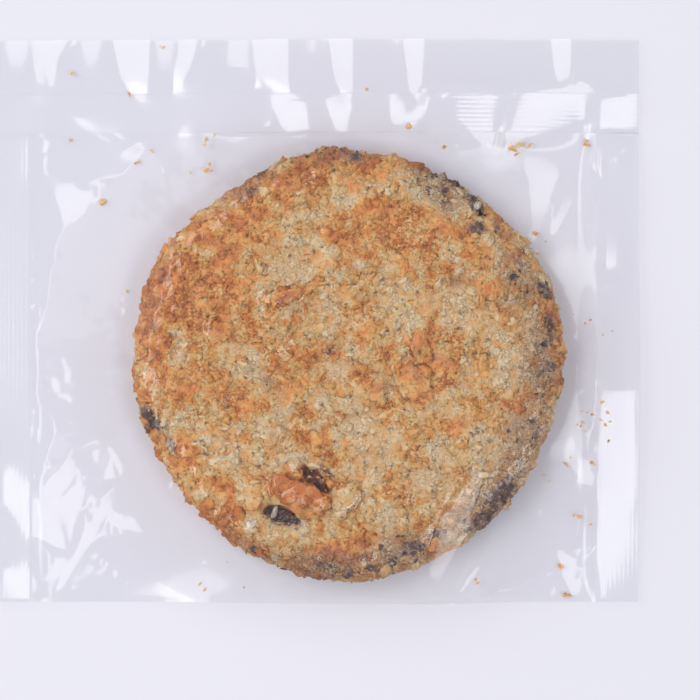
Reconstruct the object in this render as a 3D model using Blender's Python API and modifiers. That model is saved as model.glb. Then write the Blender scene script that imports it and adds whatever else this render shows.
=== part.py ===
"""Breaded squid cutlet lying in its clear sealed bag. Metres, +Z up.

The origin is under the middle of the bag, on the surface that the bag lies on. +X runs along the
bag's width and +Y towards its top seal. The cutlet is one solid with a rough crumb coat. The bag is
one film, folded along its lower edge, with a seal down each side and one across the top.
"""
import math

import bmesh
import bpy
import numpy as np
from mathutils import Vector, noise

MM = 0.001

# The cutlet
CUTLET_CENTRE = (8.4 * MM, -9.9 * MM)
CUTLET_RADIUS = 49.2 * MM          # of the patty under its crumbs
CUTLET_THICKNESS = 12.4 * MM
SHOULDER_POWER = 3.0               # of the turned outline: 2 is an ellipse, more is squarer
SPHERE_SUBDIVISIONS = 6            # 20,480 triangles before the coat is simplified
CUTLET_TRIANGLES = 8200

# Its outline leaves the circle: (direction in degrees, how far in or out, half width in degrees)
OUTLINE_SWELLINGS = (
    (152, 1.3 * MM, 13),
    (126, -0.9 * MM, 16),
    (104, 0.7 * MM, 10),
    (68, -0.9 * MM, 9),
    (20, 0.6 * MM, 14),
    (318, -0.9 * MM, 15),
    (268, 0.8 * MM, 22),
    (222, -1.0 * MM, 20),
    (190, 0.6 * MM, 16),
)

# Its crumb coat: (size of one crumb, how far the tallest stand out)
CRUMB_SIZES = (
    (6.2 * MM, 0.95 * MM),
    (3.6 * MM, 0.60 * MM),
)
LUMPS_SIZE = 17.0 * MM             # the slow rise and fall of the patty's face
LUMPS_HEIGHT = 0.60 * MM
CRUMB_WALL = 0.16                  # share of a crumb's size over which its edge rises
CRUMB_LOWEST = 0.2                 # of the tallest one's height
SEED_STEP = 7.3                    # carries each crumb's seed point to a draw of its own
UNDERSIDE_SHARE = 0.50             # the side that lay in the pan is calmer
UNDERSIDE_PRESSED = 0.35 * MM      # and its tallest crumbs are pressed flat by its weight

# What stands out of or sinks into the upper face: (x, y, half length, half width, turn in degrees, height)
FACE_FEATURES = (
    (-3.0 * MM, -39.5 * MM, 6.6 * MM, 4.2 * MM, -14, 1.2 * MM),    # broad flake of crust, curled up
    (2.4 * MM, -35.6 * MM, 4.0 * MM, 1.9 * MM, -34, -1.5 * MM),    # the hollow beside it
    (-7.4 * MM, -45.0 * MM, 4.2 * MM, 1.8 * MM, -12, -0.9 * MM),   # gap where the squid shows
    (23.0 * MM, -13.6 * MM, 3.6 * MM, 4.6 * MM, 0, 0.9 * MM),      # round clump of crumbs
    (38.0 * MM, 20.6 * MM, 3.2 * MM, 1.5 * MM, -38, -1.0 * MM),    # dark nick near the edge
    (-12.0 * MM, -37.5 * MM, 4.4 * MM, 5.2 * MM, 10, 0.8 * MM),    # pale clump beside the flake
)

# The bag
BAG_WIDTH = 150.0 * MM
BAG_HEIGHT = 129.0 * MM
FILM_THICKNESS = 0.30 * MM         # far thicker than real film, which is about 0.08 mm
CLEARANCE = 0.55 * MM              # between the middle of the film and the tallest crumb
SIDE_SEAL = 10.0 * MM
TOP_SEAL = 9.0 * MM
HEADER = 12.3 * MM                 # loose film above the top seal
LAYER_GAP = 0.80 * MM              # between the middles of the two layers, so that no hollow is shut
RIM_LIFT = 6.3 * MM                # the seals hang in the air beside the cutlet
RIM_REACH = 18.0 * MM              # and come down over this distance
SAG = 0.9                          # how much more than straight the film falls where it spans far
SHORT_SPAN = 10.0 * MM             # a span up to this stays straight
SAG_SPAN = 40.0 * MM               # and one that is longer by this has the full sag
CALM_SHARE = 0.85                  # of the patty's radius: inside it the film follows the lumps
CALM_FADE = 0.25                   # and over this share of it the lumps grow to their full height
FILM_SPREAD = 2.2                  # how much wider than a flake or clump the film is lifted by it
BACK_START = 0.86                  # of the patty's radius, where the back layer leaves the table
RIPPLE_LENGTH = 17.0 * MM
RIPPLE_HEIGHT = 0.55 * MM
FILM_COLUMNS = 100
FRONT_ROWS = 84
BACK_ROWS = 40
BAG_TRIANGLES = 2500               # of the folded sheet, before it gets its thickness

CRUST_COLOUR = (0.52, 0.30, 0.14, 1.0)
FILM_COLOUR = (0.86, 0.86, 0.90, 1.0)

CUTLET_BASE = FILM_THICKNESS + 0.3 * MM
CUTLET_MIDDLE = CUTLET_BASE + UNDERSIDE_PRESSED + CUTLET_THICKNESS / 2
COAT_HEIGHT = sum(height for size, height in CRUMB_SIZES) + LUMPS_HEIGHT


def outline_radius(direction):
    """The patty's radius in a direction, given in radians, with its flats and swellings."""
    radius = np.full_like(np.asarray(direction, float), CUTLET_RADIUS)
    for degrees, depth, half_width in OUTLINE_SWELLINGS:
        away = np.degrees(np.angle(np.exp(1j * (direction - math.radians(degrees)))))
        radius = radius + depth * np.exp(-((away / half_width) ** 2))
    return radius


def shoulder_height(share):
    """Half the patty's thickness at a share of its radius, as a share of the greatest."""
    inside = np.clip(1.0 - np.clip(share, 0.0, 1.0) ** SHOULDER_POWER, 0.0, 1.0)
    return inside ** (1.0 / SHOULDER_POWER)


def turned_outline(steps=400):
    """Radius and height along the patty's outline, top to bottom, with the share of its area passed."""
    angle = np.linspace(math.pi / 2, -math.pi / 2, steps)
    radius = CUTLET_RADIUS * np.abs(np.cos(angle)) ** (2 / SHOULDER_POWER)
    height = CUTLET_THICKNESS / 2 * np.sign(angle) * np.abs(np.sin(angle)) ** (2 / SHOULDER_POWER)
    length = np.hypot(np.diff(radius), np.diff(height))
    area = np.concatenate([[0.0], np.cumsum(length * (radius[1:] + radius[:-1]) / 2)])
    return radius, height, area / area[-1]


def lump_height(point):
    """The slow rise and fall of the patty's surface."""
    return LUMPS_HEIGHT * (0.5 + 0.5 * noise.noise(point / LUMPS_SIZE))


def crumb_height(point):
    """How far the coat stands out at a point: flat-topped crumbs of two sizes on the slow lumps."""
    height = lump_height(point)
    for size, tallest in CRUMB_SIZES:
        distances, seeds = noise.voronoi(point / size)
        edge = min(1.0, (distances[1] - distances[0]) / CRUMB_WALL)
        drawn = noise.cell(seeds[0] * SEED_STEP)
        height += tallest * edge * (CRUMB_LOWEST + (1 - CRUMB_LOWEST) * drawn)
    return height


def feature_height(x, y, spread=1.0):
    """The named lumps and hollows of the upper face, or as wide swells with a spread above one."""
    height = 0.0
    for centre_x, centre_y, half_length, half_width, turn, rise in FACE_FEATURES:
        cosine, sine = math.cos(math.radians(turn)), math.sin(math.radians(turn))
        along = ((x - centre_x) * cosine + (y - centre_y) * sine) / (half_length * spread)
        across = ((y - centre_y) * cosine - (x - centre_x) * sine) / (half_width * spread)
        height = height + rise * np.exp(-((along * along + across * across) ** 2))
    return height


def make_material(name, colour, roughness):
    material = bpy.data.materials.new(name)
    material.use_nodes = True
    shader = material.node_tree.nodes["Principled BSDF"]
    shader.inputs["Base Color"].default_value = colour
    shader.inputs["Roughness"].default_value = roughness
    shader.inputs["Metallic"].default_value = 0.0
    return material


def add_object(name, mesh, collection, material):
    thing = bpy.data.objects.new(name, mesh)
    thing.data.materials.append(material)
    collection.objects.link(thing)
    return thing


def simplify(thing, triangles, wanted):
    """A Decimate modifier that brings a surface of so many triangles to the number wanted."""
    modifier = thing.modifiers.new("simplify", "DECIMATE")
    modifier.ratio = wanted / triangles
    return modifier


def build_cutlet(collection, material):
    """A ball is spread evenly over the patty's turned outline, and the crumb coat then raises it."""
    shape = bmesh.new()
    bmesh.ops.create_icosphere(shape, subdivisions=SPHERE_SUBDIVISIONS, radius=1.0)
    radii, heights, area_passed = turned_outline()
    for vertex in shape.verts:
        share = (1.0 - vertex.co.z) / 2
        direction = math.atan2(vertex.co.y, vertex.co.x)
        swelling = float(outline_radius(direction)) / CUTLET_RADIUS
        radius = float(np.interp(share, area_passed, radii)) * swelling
        height = float(np.interp(share, area_passed, heights))
        vertex.co = Vector((
            CUTLET_CENTRE[0] + radius * math.cos(direction),
            CUTLET_CENTRE[1] + radius * math.sin(direction),
            CUTLET_MIDDLE + height,
        ))
    shape.normal_update()
    smooth = [(vertex.co.copy(), vertex.normal.copy()) for vertex in shape.verts]
    for vertex, (place, normal) in zip(shape.verts, smooth):
        upper = max(0.0, min(1.0, 0.5 + normal.z))
        share = UNDERSIDE_SHARE + (1 - UNDERSIDE_SHARE) * upper
        vertex.co = place + normal * crumb_height(place) * share
        if normal.z > 0.5:
            vertex.co.z += float(feature_height(place.x, place.y))
        vertex.co.z = max(vertex.co.z, CUTLET_BASE)
    mesh = bpy.data.meshes.new("cutlet")
    shape.to_mesh(mesh)
    shape.free()
    cutlet = add_object("cutlet", mesh, collection, material)
    simplify(cutlet, len(mesh.polygons), CUTLET_TRIANGLES)
    return cutlet


def pocket_reach(x, y):
    """How far it is from the cutlet's middle to the pocket's edge, through a point."""
    away_x = x - CUTLET_CENTRE[0]
    away_y = y - CUTLET_CENTRE[1]
    distance = np.maximum(np.hypot(away_x, away_y), 1e-6)
    side = BAG_WIDTH / 2 - SIDE_SEAL
    top = BAG_HEIGHT / 2 - HEADER - TOP_SEAL
    edge_x = np.where(away_x > 0, side, -side) - CUTLET_CENTRE[0]
    edge_y = np.where(away_y > 0, top, -BAG_HEIGHT / 2) - CUTLET_CENTRE[1]
    reach_x = edge_x * distance / np.where(np.abs(away_x) < 1e-9, 1e-9, away_x)
    reach_y = edge_y * distance / np.where(np.abs(away_y) < 1e-9, 1e-9, away_y)
    return distance, np.minimum(np.abs(reach_x), np.abs(reach_y))


def rim_height(beyond):
    """How high the joined layers hang, at a distance beyond the cutlet's edge."""
    return RIM_LIFT * np.exp(-((np.maximum(beyond, 0.0) / RIM_REACH) ** 2))


def ripple_height(x, y):
    """The header's upright waves, which grow from the seal to the free edge."""
    above = np.clip((y - (BAG_HEIGHT / 2 - HEADER)) / HEADER, 0.0, 1.0)
    return RIPPLE_HEIGHT * above * (1 + np.sin(2 * math.pi * x / RIPPLE_LENGTH))


def seal_height(x, y):
    """Height of the back layer's middle where it is joined to the front, also for the pocket's edge."""
    distance, reach = pocket_reach(x, y)
    radius = outline_radius(np.arctan2(y - CUTLET_CENTRE[1], x - CUTLET_CENTRE[0]))
    return FILM_THICKNESS / 2 + rim_height(np.maximum(distance, reach) - radius) + ripple_height(x, y)


def back_height(x, y):
    """The back layer's middle: flat under the patty, then up to the seals."""
    distance, reach = pocket_reach(x, y)
    radius = outline_radius(np.arctan2(y - CUTLET_CENTRE[1], x - CUTLET_CENTRE[0]))
    start = radius * BACK_START
    passed = np.clip((distance - start) / (reach - start), 0.0, 1.0)
    risen = 1.0 - (1.0 - passed) ** sag_power(reach - start)
    return FILM_THICKNESS / 2 + (seal_height(x, y) - FILM_THICKNESS / 2) * risen


def sag_power(span):
    """A span of film falls in a straight line where it is short and in a curve where it is long."""
    return 1.0 + SAG * np.clip((span - SHORT_SPAN) / SAG_SPAN, 0.0, 1.0)


def front_height(x, y):
    """The front layer's middle: over the patty's face, then off its shoulder down to the seals."""
    distance, reach = pocket_reach(x, y)
    radius = outline_radius(np.arctan2(y - CUTLET_CENTRE[1], x - CUTLET_CENTRE[0]))
    body_radius = radius + COAT_HEIGHT + CLEARANCE
    body_half = CUTLET_THICKNESS / 2 + COAT_HEIGHT + CLEARANCE
    seal = seal_height(x, y) + LAYER_GAP

    # The film leaves the body where a straight line from the seal just touches it.
    shares = np.linspace(0.5, 0.99, 50)
    heights = CUTLET_MIDDLE + body_half * shoulder_height(shares)
    slopes = (heights - seal[:, None]) / (reach[:, None] - shares * body_radius[:, None])
    touching = slopes.argmax(axis=1)
    start = shares[touching] * body_radius
    passed = np.clip((distance - start) / (reach - start), 0.0, 1.0)
    fallen = 1.0 - (1.0 - passed) ** sag_power(reach - start)
    tent = heights[touching] + (seal - heights[touching]) * fallen

    top = CUTLET_MIDDLE + CUTLET_THICKNESS / 2
    lumps = np.array([lump_height(Vector((point_x, point_y, top))) for point_x, point_y in zip(x, y)])
    swells = np.maximum(feature_height(x, y, FILM_SPREAD), 0.0)
    calm = np.clip((CALM_SHARE - distance / radius) / CALM_FADE, 0.0, 1.0)
    face = CUTLET_MIDDLE + body_half * shoulder_height(distance / body_radius)
    face = face + (lumps - LUMPS_HEIGHT + swells) * calm
    sagging = np.where(distance < body_radius, np.maximum(face, tent), tent)
    return np.where(distance < start, face, sagging)


def build_bag(collection, material):
    """A flat sheet twice the bag's height is folded on its middle row round the cutlet."""
    shape = bmesh.new()
    rows = BACK_ROWS + FRONT_ROWS
    bmesh.ops.create_grid(shape, x_segments=FILM_COLUMNS, y_segments=rows, size=1.0)
    flat = np.array([vertex.co for vertex in shape.verts])
    row = np.rint((flat[:, 1] + 1) / 2 * rows)
    front = row >= BACK_ROWS
    up_front = (row - BACK_ROWS) / FRONT_ROWS
    up_back = (BACK_ROWS - row) / BACK_ROWS
    x = flat[:, 0] * BAG_WIDTH / 2
    y = (np.where(front, up_front, up_back) - 0.5) * BAG_HEIGHT
    z = np.where(front, front_height(x, y), back_height(x, y))
    at_fold = row == BACK_ROWS
    z[at_fold] -= LAYER_GAP / 2
    for vertex, place in zip(shape.verts, np.stack([x, y, z], 1)):
        vertex.co = place
    bmesh.ops.triangulate(shape, faces=shape.faces[:])
    mesh = bpy.data.meshes.new("bag")
    shape.to_mesh(mesh)
    shape.free()
    bag = add_object("bag", mesh, collection, material)
    simplify(bag, len(mesh.polygons), BAG_TRIANGLES)
    thickness = bag.modifiers.new("film thickness", "SOLIDIFY")
    thickness.thickness = FILM_THICKNESS
    thickness.offset = 0.0
    return bag


def clear_scene():
    for thing in list(bpy.data.objects):
        bpy.data.objects.remove(thing, do_unlink=True)


def main():
    clear_scene()
    collection = bpy.data.collections.new("breaded_squid_cutlet")
    bpy.context.scene.collection.children.link(collection)
    build_cutlet(collection, make_material("fried crumb coat", CRUST_COLOUR, 0.8))
    build_bag(collection, make_material("clear film", FILM_COLOUR, 0.2))


main()
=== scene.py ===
# %% [markdown]
# # A breaded squid cutlet in its clear bag
# The object is a round fried cutlet, about 100 mm across, sealed on its own in a clear film bag. The
# cutlet is squid in batter under a coat of coarse bread crumbs. The bag is one film, folded along its
# lower edge, with ribbed seals and a loose header above the top one.
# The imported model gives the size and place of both. This lesson dresses them: first the cutlet and its
# crumbs, from the inside out, and then the film that lies over them.

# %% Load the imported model
import math

import bpy
import numpy as np
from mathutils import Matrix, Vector, noise
from mathutils.bvhtree import BVHTree


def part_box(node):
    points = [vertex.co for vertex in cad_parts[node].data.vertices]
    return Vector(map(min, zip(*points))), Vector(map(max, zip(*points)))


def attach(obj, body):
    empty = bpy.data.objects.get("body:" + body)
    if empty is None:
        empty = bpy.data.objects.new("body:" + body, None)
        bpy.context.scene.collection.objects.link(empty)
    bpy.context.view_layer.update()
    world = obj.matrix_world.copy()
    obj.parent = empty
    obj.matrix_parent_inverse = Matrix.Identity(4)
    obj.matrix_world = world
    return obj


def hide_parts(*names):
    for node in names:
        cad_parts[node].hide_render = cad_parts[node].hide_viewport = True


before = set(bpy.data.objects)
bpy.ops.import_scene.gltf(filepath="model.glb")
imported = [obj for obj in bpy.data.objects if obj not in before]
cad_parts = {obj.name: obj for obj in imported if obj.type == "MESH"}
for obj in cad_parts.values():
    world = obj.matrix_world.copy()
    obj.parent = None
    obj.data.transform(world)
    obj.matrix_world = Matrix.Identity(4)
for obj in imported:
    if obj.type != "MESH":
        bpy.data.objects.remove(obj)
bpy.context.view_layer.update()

MM = 0.001
SEED = 41                          # of all chance in this scene
noise.seed_set(SEED)               # or noise_vector would change with every run

# %% [markdown]
# ## Small tools
# Every step below selects one object, shapes it with operators and reads or writes its points. These
# few helpers keep the cells short. An operator acts on all that is selected, so everything is
# deselected first.

# %% Select one object, and read and write its points
def only(thing):
    bpy.ops.object.select_all(action="DESELECT")
    thing.select_set(True)
    bpy.context.view_layer.objects.active = thing


def added(name):
    """The object that a primitive operator has just added, under its own name."""
    thing = bpy.context.object
    thing.name = name
    thing.data.name = name
    return thing


def apply_modifiers(thing):
    only(thing)
    for modifier in list(thing.modifiers):
        bpy.ops.object.modifier_apply(modifier=modifier.name)


def vectors_of(owners, what):
    """One vector for each point or face: where it is, or which way it looks."""
    found = np.empty(len(owners) * 3, np.float32)
    owners.foreach_get(what, found)
    return found.reshape(-1, 3).astype(float)


def points_of(thing):
    return vectors_of(thing.data.vertices, "co")


def move_points(thing, points):
    thing.data.vertices.foreach_set("co", np.asarray(points, np.float32).ravel())
    thing.data.update()


def normals_of(thing):
    return vectors_of(thing.data.vertex_normals, "vector")


def keep_value(thing, name, values):
    """Keeps one number for each point, which a material can read by its name."""
    attribute = thing.data.attributes.new(name, "FLOAT", "POINT")
    attribute.data.foreach_set("value", np.asarray(values, np.float32))


def count(thing):
    """How many triangles a thing has."""
    return sum(len(face.vertices) - 2 for face in thing.data.polygons)


def surface_of(thing):
    """The faces of a thing, ordered so that rays can be cast against them."""
    corners = [tuple(face.vertices) for face in thing.data.polygons]
    return BVHTree.FromPolygons([Vector(point) for point in points_of(thing)], corners)


bpy.ops.object.select_all(action="DESELECT")

# %% [markdown]
# Colours are picked as hex values, and a shader wants them linear. One function turns them. One
# more adds a shader node with its settings and links, and the short ones after it name the steps that the
# materials use most, so that a material reads as a list of what it does.

# %% Colours and shader nodes
def colour(code):
    """A linear colour from an sRGB hex value such as E6C99A."""
    parts = [int(code[place:place + 2], 16) / 255 for place in (0, 2, 4)]
    linear = [part / 12.92 if part <= 0.04045 else ((part + 0.055) / 1.055) ** 2.4 for part in parts]
    return (*linear, 1.0)


def new_material(name):
    material = bpy.data.materials.new(name)
    material.use_nodes = True
    material.node_tree.nodes.clear()
    return material


def add_node(tree, kind, settings, sockets):
    """Adds a node. A socket is named or numbered, and gets a value or another node's output."""
    made = tree.nodes.new("ShaderNode" + kind)
    for name, value in settings.items():
        if name == "stops":
            ramp = made.color_ramp
            for place, code in value[2:]:
                ramp.elements.new(place)
            for element, (place, code) in zip(ramp.elements, sorted(value)):
                element.position = place
                element.color = colour(code)
        else:
            setattr(made, name, value)
    for name, value in sockets.items():
        if isinstance(value, bpy.types.NodeSocket):
            tree.links.new(value, made.inputs[name])
        else:
            made.inputs[name].default_value = value
    return made


def reckoned(tree, operation, *values, **settings):
    """One step of arithmetic on numbers or other nodes' outputs."""
    return add_node(tree, "Math", {"operation": operation, **settings}, dict(enumerate(values))).outputs[0]


def mottled(tree, places, size, detail, roughness=0.5):
    """A noise from about 0.2 to 0.8 whose spots are of this size."""
    sockets = {"Vector": places, "Scale": 1 / size, "Detail": detail, "Roughness": roughness}
    return add_node(tree, "TexNoise", {}, sockets).outputs["Fac"]


def carried(tree, value, least, most, to_least=0.0, to_most=1.0):
    """A number carried from one range to another and held inside it."""
    sockets = {"Value": value, "From Min": least, "From Max": most, "To Min": to_least, "To Max": to_most}
    return add_node(tree, "MapRange", {}, sockets).outputs[0]


def ramped(tree, value, stops):
    """A colour that a number picks from a few stops. The first two stops are the ends."""
    return add_node(tree, "ValToRGB", {"stops": stops}, {"Fac": value}).outputs[0]


def mixed(tree, share, first, second):
    """The first colour at a share of 0, and the second at 1."""
    return add_node(tree, "Mix", {"data_type": "RGBA"}, {0: share, 6: first, 7: second}).outputs[2]


def swung(tree, mottle, strength):
    """A noise as a push up or down from its middle, to be added to a number."""
    return reckoned(tree, "MULTIPLY_ADD", mottle, strength, -strength / 2)


def point_value(tree, name):
    """What keep_value has kept under a name."""
    return add_node(tree, "Attribute", {"attribute_name": name}, {}).outputs["Fac"]


# %% [markdown]
# ## Where the cutlet is
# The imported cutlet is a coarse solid. Its outline is a circle with small flats and swellings, and the
# detailed one has to keep them. So the furthest point in each direction is read from the solid and
# smoothed, which gives the rim that everything below is fitted to.

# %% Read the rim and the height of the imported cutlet
low, high = (np.array(corner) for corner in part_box("cutlet"))
centre = (low + high) / 2
solid = points_of(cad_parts["cutlet"])
direction = np.arctan2(solid[:, 1] - centre[1], solid[:, 0] - centre[0])
distance = np.hypot(solid[:, 0] - centre[0], solid[:, 1] - centre[1])
RIM_STEPS = 90
rim_angles = (np.arange(RIM_STEPS) + 0.5) / RIM_STEPS * 2 * math.pi - math.pi
sector = np.clip(((direction + math.pi) / (2 * math.pi) * RIM_STEPS).astype(int), 0, RIM_STEPS - 1)
rim = np.zeros(RIM_STEPS)
np.maximum.at(rim, sector, distance)
for step in range(3):
    rim = (np.roll(rim, 1) + 2 * rim + np.roll(rim, -1)) / 4


def rim_at(directions):
    """The cutlet's radius, crumbs included, in each direction."""
    return np.interp(directions, rim_angles, rim, period=2 * math.pi)


print("rim from", round(rim.min() / MM, 1), "to", round(rim.max() / MM, 1), "mm")
print("height", round((high - low)[2] / MM, 1), "mm")

# %% [markdown]
# ## Where the crust changes
# Frying was uneven. The upper left is toasted orange, the middle is pale gold, grey squid shows through
# the batter in places, and a band of dark squid skin runs down the right side. Wider, weaker zones of the
# skin's brown stain lie along the rim, and there they are painted shade, where the rim's side curves away
# from the light. Each zone is a handful of soft ellipses with a place, a size and a turn, in millimetres
# from the bag's middle. A slow noise bends their edges, so that no ellipse shows.

# %% Zones of the crust
# The ellipses along the rim brown it partly as toasting and partly as painted shade of its side.
# (x, y, half length, half width, turn in degrees, strength)
TOASTED_AND_RIM_SHADE_PLACES = (
    (-27, 9, 18, 14, 40, 0.62), (-36, -4, 8, 15, 0, 0.7), (-15, 25, 16, 8, 40, 0.68),
    (4, 36, 20, 5, 0, 0.75), (16, 25, 6, 8, 0, 0.5), (9.7, 18, 3, 3, 0, 0.6), (-24, -16, 6, 6, 0, 0.35),
    (-24, -44, 11, 4.5, -50, 0.8), (-8, -57, 16, 3.5, -12, 0.7), (8.6, -51, 6, 3.5, 0, 0.7),
    (24, -9, 9, 5, 10, 0.45), (-2.9, -27, 4, 3, 0, 0.5), (55, 2, 3, 9, 0, 0.7),
    (56.5, -14, 2.5, 8, 0, 0.5), (40, -49, 6, 2, 45, 0.5), (-24, -30, 10, 8, 0, 0.4),
    (34, 16, 10, 8, 0, 0.3), (0, -12, 10, 6, 20, 0.25), (-34, -33, 4, 8, 20, 0.6),
)
SQUID_PLACES = (
    (-5, 12.5, 5.5, 4.5, 0, 0.9), (-2.5, 2.5, 4.5, 2.5, 0, 0.8), (8.6, -20.5, 7, 5, 0, 0.8),
    (26.8, -36, 6.5, 4.5, 0, 0.8), (14, -30, 6, 4.5, 0, 0.6), (36, 3, 5, 3.5, 0, 0.7),
    (6.5, -10, 6, 3, 0, 0.7), (-15.5, -5.5, 4, 2.5, 0, 0.6), (46, -22, 5, 7, 0, 0.6),
    (31, 5, 8, 4, 0, 0.5), (-4, 26, 5, 2.5, 20, 0.5), (17, 10, 3, 6, 0, 0.4),
    (30, -20, 7, 3, -20, 0.45), (44, -33, 5, 4, 40, 0.6), (18, -48, 4, 3, 0, 0.5),
)
SKIN_AND_RIM_SHADE_PLACES = (
    (31.5, 31, 3, 1.2, -38, 0.9), (37, 26.5, 3.2, 1.3, -45, 0.85), (42.5, 20, 4, 0.9, -55, 0.6),
    (47.5, 13, 3.5, 0.9, -58, 0.5), (52, 6.5, 3.5, 1.4, -65, 0.85), (53.6, -2, 4.5, 1.4, -85, 0.8),
    (53.6, -10.5, 4, 1.2, -95, 0.6), (52.4, -18.5, 4, 1.1, -100, 0.5),
    (50.4, -26.5, 3.8, 1.4, -108, 0.65), (47, -33.5, 3.5, 1.4, -120, 0.6),
    (43, -39.5, 4.5, 2.6, -130, 0.95), (38.5, -44.5, 4.5, 2.4, -135, 0.95),
    (28, -48.5, 3, 1.8, 20, 0.7), (22, -52, 4.2, 1.8, 15, 0.85), (12, -53.5, 4, 1.4, 5, 0.55),
    (9.5, 36.5, 2.6, 1.6, 30, 0.7), (-11.5, 33.5, 3.6, 1.1, 55, 0.7), (-14, 29.5, 2.2, 1.4, 20, 0.6),
    (-36, -22.5, 3.6, 1.5, -55, 0.9), (-33, -28, 2.5, 1.3, -60, 0.6), (-7, -44.5, 4.6, 2, -12, 0.9),
    (3, -34.5, 2.6, 1.2, -40, 0.7), (37, 21.5, 2.4, 1.4, -30, 0.9), (32.5, 9, 4, 1.8, 0, 0.35),
    (3.5, -6, 3, 1.4, 20, 0.45), (17, -15, 2, 1.2, 30, 0.4), (-9.5, -14.5, 2, 1.4, 0, 0.4),
    # These wide, weak zones along the rim are painted shade, staining the crust where its side curves away.
    (48, 8, 11, 5, -70, 0.4), (52, -10, 13, 5.5, -90, 0.46), (48, -28, 11, 6, -112, 0.44),
    (38, -43, 10, 6.5, -135, 0.5), (21, -53, 12, 5.5, 15, 0.48), (3, -56.5, 13, 5, 0, 0.55),
    (-14, -53, 10, 4.5, -25, 0.44), (3, 39, 14, 4, 0, 0.42), (-15, 33.5, 10, 4, 35, 0.44),
    (28, 31, 9, 4.5, -40, 0.46),
)
# Clumps of crumbs: (x, y, half length, half width, turn, height in mm, how brown)
CLUMPS = (
    (-3.4, -38.6, 7.2, 3.4, -20, 0.3, 1.15), (-2.6, -42.4, 5, 1.4, -10, 0.2, 0.6),
    (22.6, -13.6, 3.9, 4.6, 20, 0.2, 0.56), (-6.2, 5.4, 4.8, 1.4, 16, 0.4, 1.05),
    (-0.6, 7.4, 3.4, 1.2, 28, 0.4, 0.85), (8.4, 5.4, 3.6, 2, -6, 0.2, 0.4),
    (7.4, -40.6, 3.4, 2, 52, 0.2, 0.16), (-13.6, -39.4, 3.6, 4.2, 10, 1.1, 0.3),
    (14, 26, 3.6, 2.6, 60, 0.8, 0.85), (4.6, 19, 2.4, 1.8, 20, 0.7, 0.92),
    (29.5, 21, 3.4, 2.2, -30, 0.8, 0.7), (-21, -2.6, 3.2, 2.4, 10, 0.8, 0.72),
    (33, -24, 2.8, 2, 70, 0.7, 0.66), (-29, -15, 3.2, 2.2, 40, 0.8, 0.7),
    (12, -3, 2.8, 2.2, 15, 0.7, 0.75), (40.5, 7.5, 2.8, 2, 0, 0.7, 0.72),
    (-19.5, 14, 3.8, 2.2, 35, 0.8, 0.95), (-33, 8, 3.6, 2.6, 80, 0.8, 0.98),
    (-25, 20, 3.4, 2.4, 45, 0.7, 0.92), (-13, 24, 3.6, 2, 30, 0.8, 0.9),
    (-4.5, -16.5, 2.8, 2, 0, 0.7, 0.8), (-14, -20, 3.8, 2, 15, 0.8, 0.62),
    (24, -5, 2.6, 2, 60, 0.6, 0.72), (-6, 32, 3.4, 1.8, 10, 0.7, 0.8),
    (20.5, 12, 2.8, 2, -40, 0.7, 0.6), (30, -10, 2.6, 2, 0, 0.7, 0.62),
    (13.5, -16, 2.6, 1.8, 20, 0.6, 0.5), (-34, -6, 3, 2, 90, 0.7, 0.95),
    (-28.5, -31, 3, 2.2, 30, 0.7, 0.78), (-20, -38, 3.4, 2.4, -40, 0.8, 0.9),
    (4, -52, 3.6, 1.8, 0, 0.7, 0.86), (2.2, -27.2, 2.4, 2.2, 0, 0.8, 0.85),
    (36, 15.5, 2.4, 1.8, 20, 0.6, 0.66), (18, 38, 3, 1.8, -10, 0.6, 0.75),
    (-16, 8, 2.6, 2, 0, 0.6, 0.8), (26, 3, 2.8, 1.8, -20, 0.6, 0.2), (18, -27, 2.8, 2, 20, 0.6, 0.08),
    (-9, -26, 2.8, 1.8, 0, 0.6, 0.12), (2, 13, 2.6, 2, 10, 0.6, 0.1), (36, -15, 2.8, 2, 40, 0.6, 0.12),
    (-22, -27, 2.8, 2, 30, 0.6, 0.1), (10, 30, 2.8, 1.8, 0, 0.6, 0.14),
)
EDGE_WAVES = 7.0 * MM              # the size of the noise that bends the zones' edges
EDGE_DEPTH = 1.6 * MM


def bent(places, size, depth, seed):
    """Moves each x and y by a slow noise, so that what is drawn there loses its regular edge."""
    offset = Vector((seed, 2.0 * seed, 0.0))
    moves = [noise.noise_vector(Vector(place) / size + offset) for place in places]
    return places + depth * np.array(moves)


def at_edges(places):
    """Where each place looks for its zone, so that all zones have bent edges."""
    return bent(places, EDGE_WAVES, EDGE_DEPTH, 3.0)


def zone(places, ellipses):
    """How strongly each place lies in the soft ellipses, from 0 to 1."""
    strongest = np.zeros(len(places))
    x, y = places[:, 0] / MM, places[:, 1] / MM
    for middle_x, middle_y, half_length, half_width, turn, strength in ellipses:
        cosine, sine = math.cos(math.radians(turn)), math.sin(math.radians(turn))
        along = ((x - middle_x) * cosine + (y - middle_y) * sine) / half_length
        across = ((y - middle_y) * cosine - (x - middle_x) * sine) / half_width
        strongest = np.maximum(strongest, strength * np.exp(-((along ** 2 + across ** 2) ** 1.5)))
    return strongest


CLUMP_WAVES, CLUMP_BEND = 2.2 * MM, 0.8 * MM


def clumped(places):
    """How far clumps raise the crust, in metres, how much a place belongs to one, and how brown that is."""
    moved = bent(places, CLUMP_WAVES, CLUMP_BEND, 5.0)
    rise, share, brown = np.zeros(len(places)), np.zeros(len(places)), np.zeros(len(places))
    for x, y, half_length, half_width, turn, height, shade in CLUMPS:
        mine = zone(moved, ((x, y, half_length, half_width, turn, 1.0),)) ** 0.6
        rise = np.maximum(rise, mine * height * MM)
        brown = np.where(mine > share, shade, brown)
        share = np.maximum(share, mine)
    return rise, share, brown


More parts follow.
